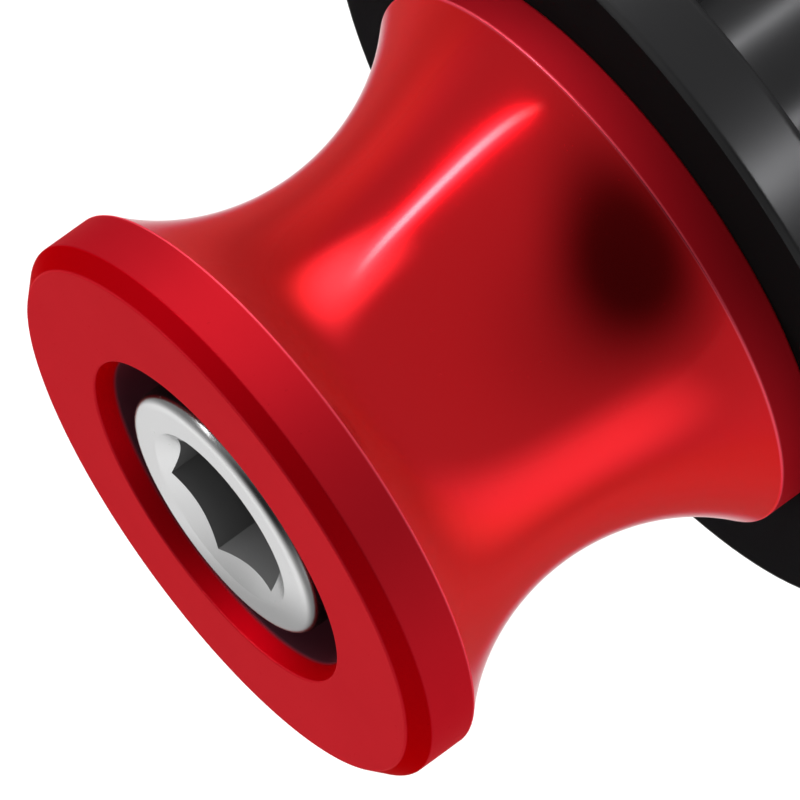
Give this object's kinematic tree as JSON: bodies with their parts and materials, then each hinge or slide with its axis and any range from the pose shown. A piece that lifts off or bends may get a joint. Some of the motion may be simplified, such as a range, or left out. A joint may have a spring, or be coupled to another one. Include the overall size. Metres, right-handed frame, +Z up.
{
  "type": "swingarm spool",
  "caption": "Concave turned bobbin on a wide backing flange with a short hub, clamped by a recessed socket cap screw whose threaded end fits a swingarm.",
  "frame": {"origin": "on the turning axis, at the rear end of the backing flange's hub, where it seats on the swingarm", "axes": "+Y along the turning axis, into the swingarm; the open front face looks along -Y; +Z up, as bolted on"},
  "size_m": [0.0564, 0.0724, 0.0564],
  "materials": {
    "red_anodised": "glossy satin red anodised, fine turning marks",
    "bright_steel": "bright satin steel",
    "black_anodised": "satin black anodised"
  },
  "bodies": {
    "root": {"spool_body": "red_anodised", "cap_screw": "bright_steel", "backing_flange": "black_anodised"}
  },
  "joints": []
}
